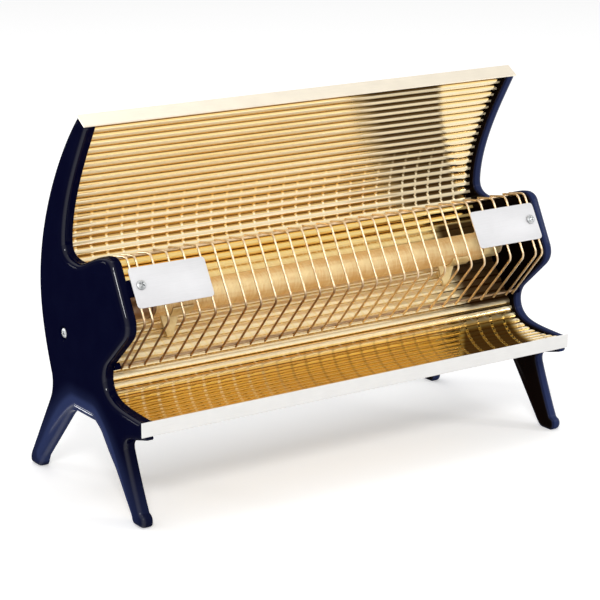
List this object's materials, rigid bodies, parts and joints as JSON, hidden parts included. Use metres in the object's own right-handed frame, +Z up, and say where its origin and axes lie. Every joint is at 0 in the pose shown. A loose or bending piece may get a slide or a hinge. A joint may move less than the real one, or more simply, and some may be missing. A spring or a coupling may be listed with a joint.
{
  "type": "electric bar heater",
  "caption": "Free-standing electric bar heater with a ribbed curved reflector, one wound heating rod, a wire guard and cast cheeks on splayed legs.",
  "frame": {"origin": "on the ground, under the middle of the heater", "axes": "+X along the length to the heater's left-hand side as it faces the room, -Y towards the room, +Z up"},
  "size_m": [0.4228, 0.19, 0.309],
  "materials": {
    "cheek_paint": "gloss navy enamel on cast metal",
    "reflector_sheet": "bright gold-tinted ribbed sheet",
    "cover_paint": "satin navy enamel on sheet",
    "guard_wire": "bright plated wire",
    "plate_sheet": "fine brushed sheet, bare",
    "screw_steel": "zinc-plated steel",
    "core_ceramic": "unglazed fireclay",
    "resistance_wire": "oxidised resistance wire",
    "terminal_brass": "plain brass",
    "block_porcelain": "glazed porcelain",
    "grommet_rubber": "black rubber",
    "lead_sleeve": "woven glass sleeve"
  },
  "bodies": {
    "root": {"cheek_right": "cheek_paint", "cheek_left": "cheek_paint", "reflector": "reflector_sheet", "back_cover": "cover_paint", "guard": "guard_wire", "guard_plate_right": "plate_sheet", "guard_plate_left": "plate_sheet", "plate_screw_right": "screw_steel", "plate_screw_left": "screw_steel", "tie_rod": "screw_steel", "cheek_screw_right": "screw_steel", "cheek_screw_left": "screw_steel", "element_core": "core_ceramic", "element_winding": "resistance_wire", "element_cap_right": "screw_steel", "element_cap_left": "screw_steel", "element_bracket_right": "screw_steel", "element_bracket_left": "screw_steel", "bracket_rivet_right": "screw_steel", "bracket_rivet_left": "screw_steel", "terminal_stud_right": "terminal_brass", "terminal_stud_left": "terminal_brass", "terminal_nut_right": "terminal_brass", "terminal_nut_left": "terminal_brass", "cover_screw_1_right": "screw_steel", "cover_screw_1_left": "screw_steel", "cover_screw_2_right": "screw_steel", "cover_screw_2_left": "screw_steel", "cord_grommet": "grommet_rubber", "terminal_block": "block_porcelain", "block_terminal_left": "terminal_brass", "block_terminal_right": "terminal_brass", "earth_screw": "terminal_brass", "lead_left": "lead_sleeve", "lead_right": "lead_sleeve"}
  },
  "joints": []
}
